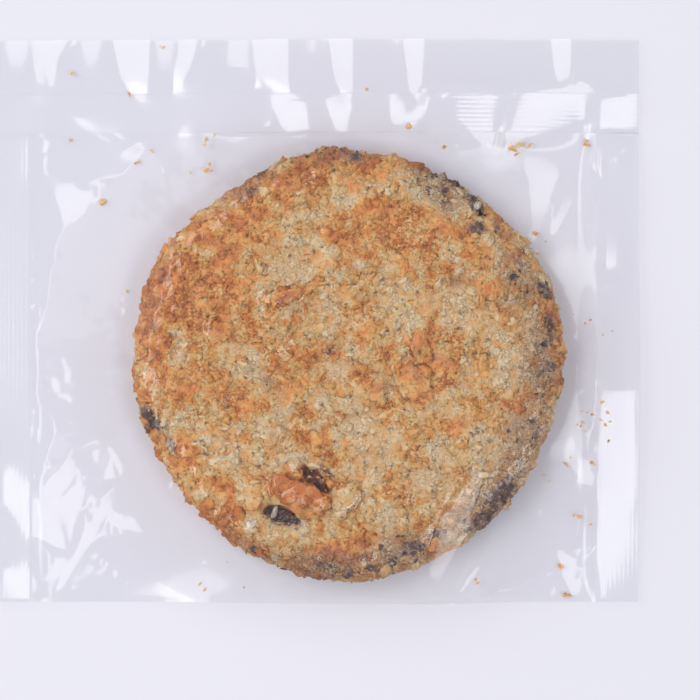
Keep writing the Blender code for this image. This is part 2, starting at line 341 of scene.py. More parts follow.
# %% [markdown]
# ## The patty under its crumbs
# The crust's ground is batter with crumbs fried into it. A cook would shape it as a flat round cake, so
# it starts as a ball with even triangles, and the ball is spread over the cake's turned outline, more
# closely on the upper face than below. A sculptor would then raise the crust by hand. Here Voronoi cells
# of three sizes raise flat-topped crumbs with gaps between them, which is what fried bread crumbs look
# like, and a fine noise roughens them. Decimate then takes out what the flat stretches don't need.

# %% Spread a ball over the cake's outline
CRUMB_ROOM = 1.5 * MM              # what the loose crumbs add outside the patty
SHOULDER_POWER = 3.0               # of the turned outline: 2 is an ellipse, more is squarer
TOP_SHARE, UNDER_SHARE = 1.5, 0.6  # how closely the triangles lie above and below
OUTLINE_STEPS = 400
patty_radius = rim.mean() - CRUMB_ROOM
patty_half = (high - low)[2] / 2 - CRUMB_ROOM / 2 - 0.25 * MM
patty_middle = low[2] + 0.35 * MM + patty_half

bpy.ops.mesh.primitive_ico_sphere_add(subdivisions=8, radius=1.0)
patty = added("patty")
ball = points_of(patty)
angle = np.linspace(math.pi / 2, -math.pi / 2, OUTLINE_STEPS)
outline_radius = patty_radius * np.cos(angle).clip(0) ** (2 / SHOULDER_POWER)
outline_height = patty_half * np.sign(angle) * np.abs(np.sin(angle)) ** (2 / SHOULDER_POWER)
piece_length = np.hypot(np.diff(outline_radius), np.diff(outline_height))
closeness = np.where(angle[1:] > 0, TOP_SHARE, UNDER_SHARE)
ring_area = piece_length * (outline_radius[1:] + outline_radius[:-1]) * closeness
area = np.concatenate([[0.0], np.cumsum(ring_area)])
passed = (1 - ball[:, 2]) / 2 * area[-1]
around = np.arctan2(ball[:, 1], ball[:, 0])
radius = np.interp(passed, area, outline_radius) * (rim_at(around) - CRUMB_ROOM) / patty_radius
smooth_patty = np.stack([
    centre[0] + radius * np.cos(around),
    centre[1] + radius * np.sin(around),
    patty_middle + np.interp(passed, area, outline_height),
], 1)
move_points(patty, smooth_patty)
print("patty", round(2 * patty_radius / MM, 1), "by", round(2 * patty_half / MM, 1), "mm")

# %% Raise the crust
# (size of one crumb, how far the tallest stands out)
CRUST_SIZES = ((5.5 * MM, 0.45 * MM), (2.8 * MM, 0.45 * MM), (1.3 * MM, 0.28 * MM))
GAP_SHARE = 0.16                   # share of a crumb's size over which its edge rises
ROUGH_SIZE, ROUGH_DEPTH = 0.7 * MM, 0.16 * MM
SEED_STEP = 7.3                    # carries a crumb's seed point to a draw of its own


def crust_at(place):
    """How far the crust stands out at a place, and a number of its own for the crumb there."""
    place = Vector(place)
    rise = ROUGH_DEPTH * noise.noise(place / ROUGH_SIZE)
    crumb = 0.0
    for size, tallest in CRUST_SIZES:
        gaps, seeds = noise.voronoi(place / size)
        draw = noise.cell(seeds[0] * SEED_STEP)
        rise += tallest * min(1.0, (gaps[1] - gaps[0]) / GAP_SHARE) * (0.15 + 0.85 * draw)
        crumb = crumb * 0.5 + draw * 0.5
    return rise, crumb


crust = np.array([crust_at(place) for place in smooth_patty])
outward = normals_of(patty)
calmer = np.clip(0.75 + 0.5 * outward[:, 2:], 0.4, 1.0)
raised = smooth_patty + outward * crust[:, :1] * calmer
# (x, y, half length, half width, turn, how strong), and how deep a strength of 1 is
HOLLOWS = (
    (0.9, -35.9, 4.9, 2.2, -42, 1), (-6.8, -43.8, 5, 2.2, -14, 0.9), (38.3, 24.6, 1.6, 1.3, 0, 1),
    (55, -1, 3, 1, -85, 0.5), (-36, -22.5, 2.4, 1.2, -55, 0.6), (8.5, -22, 2, 1, 30, 0.4),
)
HOLLOW_DEPTH = 2.4 * MM
HOLLOW_WAVES, HOLLOW_BEND = 1.6 * MM, 1.1 * MM
CLUMP_SHARE = 0.8                  # of a clump's height; the crumbs on it add the rest


def hollow_at(places):
    """How deep each place lies in a hollow, from 0 to 1."""
    return zone(bent(places, HOLLOW_WAVES, HOLLOW_BEND, 9.0), HOLLOWS)


on_top = np.clip(2 * outward[:, 2], 0, 1)
hollow = hollow_at(smooth_patty) * on_top
raised[:, 2] += clumped(smooth_patty)[0] * CLUMP_SHARE * on_top - HOLLOW_DEPTH * hollow
raised[:, 2] = np.maximum(raised[:, 2], low[2])
move_points(patty, raised)
keep_value(patty, "crumb", crust[:, 1])
keep_value(patty, "hollow", hollow)

PATTY_TRIANGLES = 178000
thinning = patty.modifiers.new("thinning", "DECIMATE")
thinning.ratio = PATTY_TRIANGLES / count(patty)
apply_modifiers(patty)
bpy.ops.object.shade_smooth()
print("patty", count(patty), "triangles")

# %% [markdown]
# ## Flakes fried into the crust
# A few large flakes of batter and bread lie on the crust, one of them curled over a dark hollow. Each is a
# ball that is flattened, given a ragged outline, bent along its length and tipped. They join the patty,
# so that crumbs settle on them too. Bits of white squid are made in the same way.

# %% Shape one flake
patty_surface = surface_of(patty)
HIGH_ABOVE = 50 * MM               # rays start here
RAGGED_SHARE, RAGGED_TURNS = 0.30, 1.8   # how far a flake's outline strays, and how often
FLAKE_FLATNESS = 0.6               # 1 is a ball, less has flatter faces
FLAKE_RELIEF = 0.9                 # of the crust's own relief


def surface_at(x, y):
    """The height of the crust below a place, or the patty's middle height beside it."""
    hit = patty_surface.ray_cast(Vector((x, y, HIGH_ABOVE)), Vector((0, 0, -1)))[0]
    return hit.z if hit else patty_middle


def flake(name, x, y, length, width, height, turn, bend, tip, lift):
    """One flat ragged flake. Places and sizes are in millimetres; a tip raises its far long side."""
    bpy.ops.object.select_all(action="DESELECT")
    bpy.ops.mesh.primitive_ico_sphere_add(subdivisions=4, radius=1.0)
    thing = added(name)
    ball = points_of(thing)
    turns = [Vector((RAGGED_TURNS * px, RAGGED_TURNS * py, x + y)) for px, py in ball[:, :2]]
    outline = np.array([noise.noise(place) for place in turns])
    shaped = ball.copy()
    shaped[:, :2] *= 1 + RAGGED_SHARE * outline[:, None]
    shaped[:, 2] = np.sign(ball[:, 2]) * np.abs(ball[:, 2]) ** FLAKE_FLATNESS
    shaped *= np.array([length, width, height]) / 2
    shaped[:, 1] += bend * (ball[:, 0] ** 2 - 0.3)
    shaped[:, 2] += tip * shaped[:, 1]
    cosine, sine = math.cos(math.radians(turn)), math.sin(math.radians(turn))
    turned = shaped @ np.array([[cosine, sine, 0], [-sine, cosine, 0], [0, 0, 1.0]]) * MM
    placed = turned + np.array([x * MM, y * MM, surface_at(x * MM, y * MM) + lift * MM])
    relief = np.array([crust_at(point)[0] for point in placed])
    move_points(thing, placed + ball * relief[:, None] * FLAKE_RELIEF)
    bpy.ops.object.shade_smooth()
    return thing


def joined(name, parts):
    bpy.ops.object.select_all(action="DESELECT")
    for part in parts:
        part.select_set(True)
    bpy.context.view_layer.objects.active = parts[0]
    if len(parts) > 1:
        bpy.ops.object.join()
    parts[0].name = name
    print(name, count(parts[0]), "triangles")
    return parts[0]


# %% Lay the flakes
# (x, y, length, width, height, turn, bend, tip, lift)
FLAKES = (
    (-2.6, -39.6, 13.4, 5.6, 1.4, -24, -0.7, 0.26, 0.9), (-1.8, -42.4, 8, 2.2, 1, -14, 0.2, 0, 0.3),
    (22.7, -13.8, 7, 8.6, 1.7, 12, 0, 0, 0.75), (24.6, -6.4, 4, 6.6, 1.3, 8, 0, 0.05, 0.65),
    (-6.4, 5.4, 9, 1.9, 1.3, 16, 0.6, 0, 0.65), (-0.4, 7.6, 5.8, 1.7, 1.2, 30, -0.3, 0, 0.65),
    (8.2, 5.6, 6.6, 3.8, 1.3, -6, 0, 0.08, 0.65), (7.6, -40.2, 7.4, 4.2, 1.2, 46, 0, 0.1, 0.65),
    (-13.8, -38.6, 4.4, 8.4, 1.2, 8, 0.4, 0, 0.3), (4.6, 19.2, 4.6, 3.4, 1, 20, 0, 0, 0.3),
    (-21, -2.6, 5.6, 4.4, 1, 10, 0, 0.1, 0.3), (-9, -26.4, 5.2, 3.6, 0.9, 70, 0, 0, 0.3),
)
patty = joined("patty", [patty] + [flake("flake", *row) for row in FLAKES])

# %% Note each point's zones
places = points_of(patty)
bent_places = at_edges(places)
clump_share, clump_brown = clumped(places)[1:]
toasted = zone(bent_places, TOASTED_AND_RIM_SHADE_PLACES) * (1 - clump_share) + clump_brown * clump_share
keep_value(patty, "toasted", toasted)
keep_value(patty, "squid", zone(bent_places, SQUID_PLACES))
keep_value(patty, "skin", zone(bent_places, SKIN_AND_RIM_SHADE_PLACES))
print("toasted share", round(toasted.mean(), 2))

# %% [markdown]
# ## Bread crumbs
# Coarse bread crumbs are torn from a loaf, so they are jagged, porous and all unlike. A few are modelled
# and then copied. Each starts as a ball with few faces, its points are shaken, as torn bread has no
# smooth side, and it is flattened to a chunk, a flake or a sliver.

# %% Model the crumbs
def crumb_model(name, subdivisions, shaking, proportions, seed, cuts=0):
    """The points and corners of one crumb, one unit long. Cuts give a larger one a rough surface."""
    bpy.ops.object.select_all(action="DESELECT")
    bpy.ops.mesh.primitive_ico_sphere_add(subdivisions=subdivisions, radius=0.5)
    crumb = added(name)
    bpy.ops.object.mode_set(mode="EDIT")
    bpy.ops.mesh.select_all(action="SELECT")
    bpy.ops.transform.vertex_random(offset=shaking, uniform=0.6, normal=0.5, seed=seed)
    if cuts:
        bpy.ops.mesh.subdivide(number_cuts=cuts, smoothness=0.5)
        bpy.ops.transform.vertex_random(offset=0.075, uniform=0.6, normal=0.5, seed=seed)
    bpy.ops.transform.resize(value=proportions)
    bpy.ops.object.mode_set(mode="OBJECT")
    points = points_of(crumb)
    corners = np.array([face.vertices for face in crumb.data.polygons])
    bpy.data.objects.remove(crumb)
    return points, corners


# (subdivisions, how far its points are shaken, its length, width and height)
CRUMB_KINDS = (
    (2, 0.22, (1, 0.85, 0.65)), (2, 0.26, (1, 0.75, 0.6)), (2, 0.24, (1.1, 0.85, 0.45)),
    (2, 0.28, (1, 0.7, 0.5)), (2, 0.22, (1.5, 0.5, 0.4)), (2, 0.24, (1.3, 0.6, 0.42)),
)
CHIP_KINDS = (
    (1, 0.2, (1, 0.8, 0.34)), (1, 0.24, (1.2, 0.7, 0.3)), (1, 0.2, (1, 0.95, 0.3)),
    (1, 0.24, (1.3, 0.6, 0.34)), (1, 0.2, (1.1, 0.75, 0.32)), (1, 0.22, (0.9, 0.9, 0.36)),
)
GRAIN_KINDS = (
    (1, 0.26, (1, 0.8, 0.6)), (1, 0.3, (1.2, 0.65, 0.5)), (1, 0.26, (1.5, 0.5, 0.45)),
    (1, 0.3, (1, 0.9, 0.4)),
)


def crumb_family(name, kinds, first_seed, cuts=0):
    """The models of one kind of crumb, each with a seed of its own."""
    models = [crumb_model(name, *kind, first_seed + number, cuts) for number, kind in enumerate(kinds)]
    print(len(models), name, "models of", len(models[0][1]), "faces")
    return models


crumb_models = crumb_family("crumb", CRUMB_KINDS, 1)
grain_models = crumb_family("grain", GRAIN_KINDS, 11)
chip_models = crumb_family("chip", CHIP_KINDS, 21, cuts=2)

# %% [markdown]
# The crumbs go where the crust is: faces of the patty are drawn by chance, each in proportion to its
# size, and a crumb is laid on each one, turned at random about the face's normal and tipped a little.
# Arrays place thousands at once, and all crumbs of one colour become one mesh.

# %% Copy crumbs onto the crust
def turned_to(normals, spins, tips):
    """Turns that carry a crumb's height to each normal, spun about it and tipped."""
    up = normals + np.stack([np.cos(3 * spins), np.sin(3 * spins), np.zeros(len(spins))], 1) * tips[:, None]
    up /= np.linalg.norm(up, axis=1, keepdims=True)
    side = np.stack([np.cos(spins), np.sin(spins), np.zeros(len(spins))], 1)
    side = side - up * (side * up).sum(1, keepdims=True)
    steep = np.linalg.norm(side, axis=1) < 0.2
    side[steep] = np.cross(up[steep], [1.0, 0.3, 0.2])
    side /= np.linalg.norm(side, axis=1, keepdims=True)
    return np.stack([side, np.cross(up, side), up], 2)


def copies(name, models, kinds, places, turns, sizes, values):
    """One mesh of a copy of a model at each place. Each copy has its own value under each name."""
    all_points, all_corners, copied, start = [], [], [], 0
    for number, (points, corners) in enumerate(models):
        chosen = np.flatnonzero(kinds == number)
        scaled = points[None] * sizes[chosen, None, None]
        moved = np.einsum("nij,npj->npi", turns[chosen], scaled) + places[chosen, None]
        offsets = start + np.arange(len(chosen)) * len(points)
        all_points.append(moved.reshape(-1, 3))
        all_corners.append((corners[None] + offsets[:, None, None]).reshape(-1, 3))
        copied.append(np.repeat(chosen, len(points)))
        start += len(chosen) * len(points)
    mesh = bpy.data.meshes.new(name)
    mesh.from_pydata(np.concatenate(all_points).tolist(), [], np.concatenate(all_corners).tolist())
    thing = bpy.data.objects.new(name, mesh)
    bpy.context.scene.collection.objects.link(thing)
    for value_name, numbers in values.items():
        keep_value(thing, value_name, numbers[np.concatenate(copied)])
    return thing


faces = patty.data.polygons
face_middles, face_normals = vectors_of(faces, "center"), vectors_of(faces, "normal")
face_areas = np.empty(len(faces), np.float32)
faces.foreach_get("area", face_areas)
smooth_normals = normals_of(patty)


def drawn_places(how_many, weights, draw):
    """Faces of the patty, drawn in proportion to their size and a weight: places and smooth normals."""
    chances = face_areas * weights
    chosen = draw.choice(len(faces), how_many, p=chances / chances.sum())
    corner = np.array([faces[int(number)].vertices[0] for number in chosen])
    return face_middles[chosen], (smooth_normals[corner] + face_normals[chosen]) / 2


face_bent = at_edges(face_middles)
on_skin = zone(face_bent, SKIN_AND_RIM_SHADE_PLACES)
on_squid = zone(face_bent, SQUID_PLACES)
upper = np.clip(0.8 + face_normals[:, 2], 0.35, 1.0)
on_clump = clumped(face_middles)[1]
crumb_weights = upper * (1 - 0.7 * on_skin) * (1 - 0.85 * on_squid) * (1 - 0.7 * on_clump)
crumb_weights = crumb_weights * np.clip(1.15 - 2.0 * hollow_at(face_middles), 0.06, 1)
CLUSTERS = ((2.6 * MM, 0.40), (5.0 * MM, 0.85), (12.0 * MM, 0.50))  # spots of browning: size and strength
PALEST, TOASTED_MORE = 0.27, 0.66


def browning(places):
    """How brown the crust is at each place: 0 is pale, 1 is toasted."""
    shade = PALEST + TOASTED_MORE * zone(at_edges(places), TOASTED_AND_RIM_SHADE_PLACES)
    for size, strength in CLUSTERS:
        shade = shade + strength * np.array([noise.noise(Vector(place) / size) for place in places])
    share, brown = clumped(places)[1:]
    return shade * (1 - share) + brown * share


# (how many, smallest and largest size, how deep the middle lies, how little and how much the face that it
# lies on may look up, models)
CRUMB_ORDERS = (
    (70, 2.6 * MM, 4.2 * MM, 0.24, 0.85, 1.0, chip_models),
    (130, 1.8 * MM, 3.8 * MM, 0.02, -0.2, 0.6, crumb_models),
    (380, 2.2 * MM, 3.8 * MM, 0.30, -1.0, 1.0, crumb_models),
    (4550, 1.1 * MM, 2.5 * MM, 0.16, -1.0, 1.0, crumb_models),
    (18000, 0.5 * MM, 1.2 * MM, 0.05, -1.0, 1.0, grain_models),
)
draw = np.random.default_rng(SEED)
laid = []
for how_many, smallest, largest, sink, least_up, most_up, models in CRUMB_ORDERS:
    lies_right = (face_normals[:, 2] >= least_up) & (face_normals[:, 2] <= most_up)
    middles, normals = drawn_places(how_many, crumb_weights * lies_right, draw)
    sizes = smallest + (largest - smallest) * draw.random(how_many) ** 1.6
    turns = turned_to(normals, draw.random(how_many) * 2 * math.pi, draw.random(how_many) ** 2 * 0.6)
    kinds = draw.integers(0, len(models), how_many)
    shade = browning(middles) + draw.normal(0.0, 0.08, how_many)
    stain_and_rim_shade = zone(at_edges(middles), SKIN_AND_RIM_SHADE_PLACES)
    laid.append((models, middles - normals * (sizes * sink)[:, None], turns, sizes, kinds, shade, stain_and_rim_shade))

# %% Sort them by how brown they are
# (name, from and up to this shade)
BROWNINGS = (("pale", -9.0, 0.12), ("golden", 0.12, 0.50), ("toasted", 0.50, 9.0))
crumb_pieces = {}
for name, least, most in BROWNINGS:
    for kind, orders in (("crumbs", laid[:-1]), ("grains", laid[-1:])):
        parts = []
        for models, middles, turns, sizes, kinds, shade, stain_and_rim_shade in orders:
            chosen = (shade >= least) & (shade < most)
            values = {"shade": shade[chosen], "skin": stain_and_rim_shade[chosen]}
            parts.append(copies(
                name, models, kinds[chosen], middles[chosen], turns[chosen], sizes[chosen], values))
        piece = joined(name + "_" + kind, parts)
        bpy.ops.object.shade_smooth()
        crumb_pieces[name, kind] = piece

# %% [markdown]
# ## Squid where the crust is broken
# White squid and dark squid skin show there. The skin lies in small thin scraps.

# %% Squid showing
# (x, y, length, width, height, turn, bend, tip, lift)
FLESH = (
    (-8.6, -43.4, 4, 0.9, 0.8, 76, 0.4, 0, 0.3), (-5.6, -46, 4.4, 0.8, 0.7, 4, 0.3, 0, 0.1),
    (-13.6, -45.8, 2.6, 1.6, 0.6, 20, 0.4, 0, -0.1), (37.4, 26, 1.2, 0.8, 0.8, 0, 0, 0, 0.1),
)
squid_flesh = joined("squid_flesh", [flake("flesh", *row) for row in FLESH])
SCRAPS = 420
SCRAP_KINDS = [(2, 0.26, (1.0, 0.55 + 0.1 * number, 0.24)) for number in range(4)]
scrap_models = crumb_family("scrap", SCRAP_KINDS, 31)
scrap_middles, scrap_normals = drawn_places(SCRAPS, on_skin ** 4 * upper, draw)
scrap_sizes = (0.7 + 1.6 * draw.random(SCRAPS) ** 2) * MM
skin_scraps = copies(
    "skin_scraps", scrap_models, draw.integers(0, len(scrap_models), SCRAPS), scrap_middles,
    turned_to(scrap_normals, draw.random(SCRAPS) * 2 * math.pi, draw.random(SCRAPS) * 0.5), scrap_sizes,
    {"shade": draw.random(SCRAPS)})
print("skin_scraps", count(skin_scraps), "triangles")

# %% [markdown]
# ## Materials of the crust
# Fried bread crumb is a dry, porous starch foam: matt, with a trace of oil. It browns from cream through
# gold and orange, in spots of a few millimetres, and it is speckled finely. Its dark pores are partly burnt
# crumb and partly painted shade of the crevices, and its pale flecks are partly pale tips and partly
# painted highlights. One function makes that colour for the crumbs and for the batter under them, so that a
# spot of browning runs on from one to the other.

# %% Colours of the crust
BROWNING_STOPS = ((0.0, "F6D7AD"), (1.0, "CC783E"), (0.25, "F0C488"), (0.5, "EEAE64"), (0.75, "EA9850"))
BURNT_AND_PORE_SHADE_COLOUR = "7E5638"
FLECK_AND_HIGHLIGHT_COLOUR = "F8E0C0"
STAIN_AND_RIM_SHADE_COLOUR = "9A7462"
SKIN_STOPS = ((0.3, "42302C"), (0.7, "B2907E"), (0.5, "7A5E54"))
SPOT_SIZE, SPECK_SIZE, PORE_SIZE = 3.2 * MM, 0.42 * MM, 1.4 * MM
SPOT_STRENGTH, SPECK_STRENGTH = 1.5, 0.2   # how much they change the browning
BROKEN_STRENGTH = 2.4              # how much the specks break up the skin


def crust_colour(tree, places, brown):
    """Pale gold to brown by a number, with spots and specks, pores partly painted shade, flecks partly
    painted highlights.
    """
    spots = mottled(tree, places, SPOT_SIZE, 2.0)
    specks = mottled(tree, places, SPECK_SIZE, 3.0, 0.7)
    pores = mottled(tree, places, PORE_SIZE, 3.0)
    spotted = reckoned(tree, "ADD", brown, swung(tree, spots, SPOT_STRENGTH))
    speckled = reckoned(tree, "ADD", spotted, swung(tree, specks, SPECK_STRENGTH))
    browned = ramped(tree, speckled, BROWNING_STOPS)
    # Dark pores: partly burnt crumb, partly painted shade of the crevices between crumbs.
    burnt_and_pore_shaded = mixed(tree, carried(tree, pores, 0.29, 0.42, 0.85, 0.0), browned, colour(BURNT_AND_PORE_SHADE_COLOUR))
    # Pale flecks: partly pale crumb tips, partly painted highlights.
    flecked_and_highlit = mixed(tree, carried(tree, specks, 0.55, 0.75, 0.0, 0.3), burnt_and_pore_shaded, colour(FLECK_AND_HIGHLIGHT_COLOUR))
    return flecked_and_highlit, specks, pores


def skin_and_rim_shade_colour(tree, under, skin, specks, pores):
    """Stains a colour brown, a real stain near the skin and painted shade along the rim, and lays dark skin
    over it in specks.
    """
    stain_and_rim_shade = reckoned(tree, "MULTIPLY", skin, 1.1, use_clamp=True)
    under = mixed(tree, stain_and_rim_shade, under, colour(STAIN_AND_RIM_SHADE_COLOUR))
    broken = reckoned(tree, "ADD", skin, swung(tree, specks, BROKEN_STRENGTH))
    share = carried(tree, broken, 0.30, 0.75)
    on_skin = reckoned(tree, "MULTIPLY", skin, 4.0, use_clamp=True)
    share = reckoned(tree, "MULTIPLY", share, on_skin)
    return mixed(tree, share, under, ramped(tree, pores, SKIN_STOPS))


def finished(material, colours, roughness, height, depth):
    """The shader that all parts of the crust share, with a bump of this depth."""
    tree = material.node_tree
    bump = add_node(tree, "Bump", {}, {"Height": height, "Strength": 0.7, "Distance": depth})
    shader = add_node(tree, "BsdfPrincipled", {}, {
        "Base Color": colours, "Roughness": roughness, "Specular IOR Level": 0.4,
        "Normal": bump.outputs["Normal"], "Subsurface Weight": 0.35, "Subsurface Radius": (1.0, 0.6, 0.3),
        "Subsurface Scale": 0.9 * MM})
    add_node(tree, "OutputMaterial", {}, {"Surface": shader.outputs["BSDF"]})
    return material


# %% Crumb material
def crumb_material():
    """Fried bread crumb: matt, faintly glowing starch, browned by each crumb's own number."""
    material = new_material("fried_bread_crumb")
    tree = material.node_tree
    places = add_node(tree, "TexCoord", {}, {}).outputs["Object"]
    colours, specks, pores = crust_colour(tree, places, point_value(tree, "shade"))
    # Crumbs near the skin are stained, and along the rim they get painted shade.
    eased = reckoned(tree, "MULTIPLY", point_value(tree, "skin"), 0.75)
    return finished(material, skin_and_rim_shade_colour(tree, colours, eased, specks, pores), 0.6, specks, 0.26 * MM)


bread_crumb = crumb_material()
for piece in crumb_pieces.values():
    piece.data.materials.append(bread_crumb)
print("crumbs are coloured by", len(BROWNING_STOPS), "stops of browning")

# %% [markdown]
# Between the crumbs lies batter. It is the same colour where it is thick, a little darker, and where it
# is thin the squid shows through as a warm grey. Hollows get painted shade, dark brown and nearly black
# on the skin, as little light gets into them.

# %% Batter material
THIN_SIZE = 4.5 * MM               # of the patches where the batter is thin
SQUID_STOPS = ((0.32, "A6845E"), (0.68, "E8D2B0"), (0.5, "D4B48A"))
HOLLOW_SHADE_STOPS = ((0.35, "3C1E14"), (0.65, "9A5A34"), (0.5, "5E3220"))
HOLLOW_SHADE_ON_SKIN = "2A2830"


def batter_material():
    """Fried batter, a little shinier than the crumbs, with squid and skin showing through and shade painted
    in hollows.
    """
    material = new_material("fried_batter")
    tree = material.node_tree
    places = add_node(tree, "TexCoord", {}, {}).outputs["Object"]
    toasted, skin, hollow = [point_value(tree, name) for name in ("toasted", "skin", "hollow")]
    toasting = reckoned(tree, "MULTIPLY_ADD", toasted, 0.60, 0.32)
    varied = reckoned(tree, "MULTIPLY_ADD", point_value(tree, "crumb"), -0.3, toasting)
    crusty, specks, pores = crust_colour(tree, places, varied)
    thin = carried(tree, mottled(tree, places, THIN_SIZE, 2.0), 0.50, 0.66, 0.10, 0.80)
    thin_there = reckoned(tree, "MULTIPLY", thin, reckoned(tree, "SUBTRACT", 1.0, toasted))
    squid_share = reckoned(tree, "MAXIMUM", thin_there, point_value(tree, "squid"))
    with_squid = mixed(tree, squid_share, crusty, ramped(tree, specks, SQUID_STOPS))
    # The skin's stain and the dark skin, with painted shade along the rim.
    with_skin_and_rim_shade = skin_and_rim_shade_colour(tree, with_squid, skin, specks, pores)
    # Painted shade: the hollows are coloured dark brown, and nearly black where the skin is.
    deep = mixed(tree, skin, ramped(tree, pores, HOLLOW_SHADE_STOPS), colour(HOLLOW_SHADE_ON_SKIN))
    hollow_shade_share = carried(tree, reckoned(tree, "MULTIPLY_ADD", specks, 0.5, hollow), 0.60, 0.85)
    return finished(material, mixed(tree, hollow_shade_share, with_skin_and_rim_shade, deep), 0.5, specks, 0.22 * MM)


patty.data.materials.append(batter_material())
print("batter thins in patches of", THIN_SIZE / MM, "mm")

# %% [markdown]
# The flesh of fried squid is white and dull. Its skin is purple-black, thin and still a little wet, so it
# is smoother and shines more. Both are mottled.

# %% Squid flesh and skin
FLESH_STOPS = ((0.3, "A49A90"), (0.7, "E6DED2"), (0.5, "CAC0B2"))
SCRAP_STOPS = ((0.3, "3A2C2A"), (0.7, "A08478"), (0.5, "66504C"))


def squid_material(name, stops, roughness):
    """Mottled squid: white flesh, or skin with a wet shine where the roughness is low."""
    material = new_material(name)
    tree = material.node_tree
    places = add_node(tree, "TexCoord", {}, {}).outputs["Object"]
    mottle = mottled(tree, places, PORE_SIZE, 3.0)
    return finished(material, ramped(tree, mottle, stops), roughness, mottle, 0.1 * MM)


squid_flesh.data.materials.append(squid_material("squid_flesh", FLESH_STOPS, 0.7))
skin_scraps.data.materials.append(squid_material("squid_skin", SCRAP_STOPS, 0.45))
print("squid flesh and skin are mottled by", PORE_SIZE / MM, "mm")

# %% [markdown]
# ## Floor, lights and camera
# The photograph looks straight down on a pale table. The camera stands 0.7 m above it with a long lens,
# so that 700 pixels span the same 159.8 mm. Two long soft lights, one on each side, stand high enough to
# glint only in film that leans towards them, and a small low one glints in steep folds at the upper right.
# A lower, wider light gives the cutlet its shading.

# %% Camera
PHOTO_PIXELS = 700
PIXELS_PER_MM = 4.38
BAG_MIDDLE_PIXEL = (312.5, 320.5)
SCALE_PLANE = 7 * MM               # the height at which the photograph's scale was taken


def from_pixel(x, y):
    """The place on the table of a pixel of the photograph."""
    from_middle = np.array([x - BAG_MIDDLE_PIXEL[0], BAG_MIDDLE_PIXEL[1] - y])
    return from_middle / PIXELS_PER_MM * MM


camera_place = Vector((*from_pixel(PHOTO_PIXELS / 2, PHOTO_PIXELS / 2), 0.7))
bpy.ops.object.camera_add(location=camera_place, rotation=(0, 0, 0))
camera = bpy.context.object
camera.data.sensor_width = 36.0
camera.data.lens = 36.0 * (camera_place.z - SCALE_PLANE) / (PHOTO_PIXELS / PIXELS_PER_MM * MM)
bpy.context.scene.camera = camera
print("lens", round(camera.data.lens, 1), "mm")

# %% Floor
bpy.ops.mesh.primitive_plane_add(size=3.0, location=(0, 0, 0))
floor = added("floor")
floor_material = new_material("pale_floor")
floor_shader = add_node(floor_material.node_tree, "BsdfPrincipled", {}, {
    "Base Color": colour("EFEEF6"), "Roughness": 0.8, "Specular IOR Level": 0.2})
add_node(floor_material.node_tree, "OutputMaterial", {}, {"Surface": floor_shader.outputs["BSDF"]})
floor.data.materials.append(floor_material)

# %% Lights
LEFT_LIGHT = Vector((-0.49, 0.05, 1.0))
RIGHT_LIGHT = Vector((0.47, -0.32, 1.0))
LOW_LIGHT = Vector((0.83, 0.61, 0.61))
KEY_LIGHT = Vector((-2.2, 1.2, 1.4))


def soft_box(name, middle, width, height, radiance):
    """An even soft light that faces the cutlet. Its height lies along the table's own Y."""
    light = bpy.data.lights.new(name, "AREA")
    light.shape = "RECTANGLE"
    light.size = width
    light.size_y = height
    light.energy = radiance * math.pi * width * height
    thing = bpy.data.objects.new(name, light)
    bpy.context.scene.collection.objects.link(thing)
    thing.location = middle
    thing.rotation_mode = "QUATERNION"
    below_camera = Vector((camera_place.x, camera_place.y, 0))
    thing.rotation_quaternion = (middle - below_camera).to_track_quat("Z", "X")


GLINT_RADIANCE, KEY_RADIANCE = 4.6, 1.1
soft_box("left_strip", LEFT_LIGHT, 0.30, 0.90, GLINT_RADIANCE)
soft_box("right_strip", RIGHT_LIGHT, 0.28, 0.50, GLINT_RADIANCE)
soft_box("low_strip", LOW_LIGHT, 0.13, 0.20, GLINT_RADIANCE)
soft_box("key", KEY_LIGHT, 2.4, 2.4, KEY_RADIANCE)
world = bpy.data.worlds.new("studio")
world.use_nodes = True
world.node_tree.nodes["Background"].inputs["Color"].default_value = colour("F2F3FA")
world.node_tree.nodes["Background"].inputs["Strength"].default_value = 0.53
bpy.context.scene.world = world
bpy.context.scene.view_settings.view_transform = "Standard"

# %% [markdown]
# ## How the bag lies
# The bag is one clear film. It is fused along both sides and in a band near its upper edge, and above
# that band it ends in two loose layers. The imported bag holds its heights. Rays cast down onto it and up
# against it read them over a grid, which is smoothed, since its facets would flash in the light.

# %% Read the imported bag's heights
SIDE_SEAL = 10.0 * MM
SEAL_LOWER, SEAL_UPPER = 43.2 * MM, 52.2 * MM      # the ribbed band below the header
GRID_STEP = 0.42 * MM
FACET_BLUR = 1.8 * MM
bag_low, bag_high = (np.array(corner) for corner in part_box("bag"))
grid_x = np.arange(bag_low[0] + GRID_STEP / 2, bag_high[0], GRID_STEP)
grid_y = np.arange(bag_low[1] + GRID_STEP / 2, bag_high[1], GRID_STEP)
bag_surface = surface_of(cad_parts["bag"])


def cast(start_height, direction):
    """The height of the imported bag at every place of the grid, seen from a height."""
    found = np.zeros((len(grid_y), len(grid_x)))
    for row, y in enumerate(grid_y):
        for column, x in enumerate(grid_x):
            hit, inward = None, 1.0
            while hit is None:
                hit = bag_surface.ray_cast(Vector((x * inward, y * inward, start_height)), direction)[0]
                inward -= 0.01
            found[row, column] = hit.z
    return found


def blurred(grid, size):
    """A grid of heights, smoothed over a size. Its edge values go on outside it."""
    reach = int(3 * size / GRID_STEP) + 1
    weights = np.exp(-0.5 * (np.arange(-reach, reach + 1) * GRID_STEP / size) ** 2)
    weights /= weights.sum()
    wide = np.pad(grid, reach, mode="edge")
    wide = sum(weight * wide[:, step:step + grid.shape[1]] for step, weight in enumerate(weights))
    return sum(weight * wide[step:step + grid.shape[0]] for step, weight in enumerate(weights))


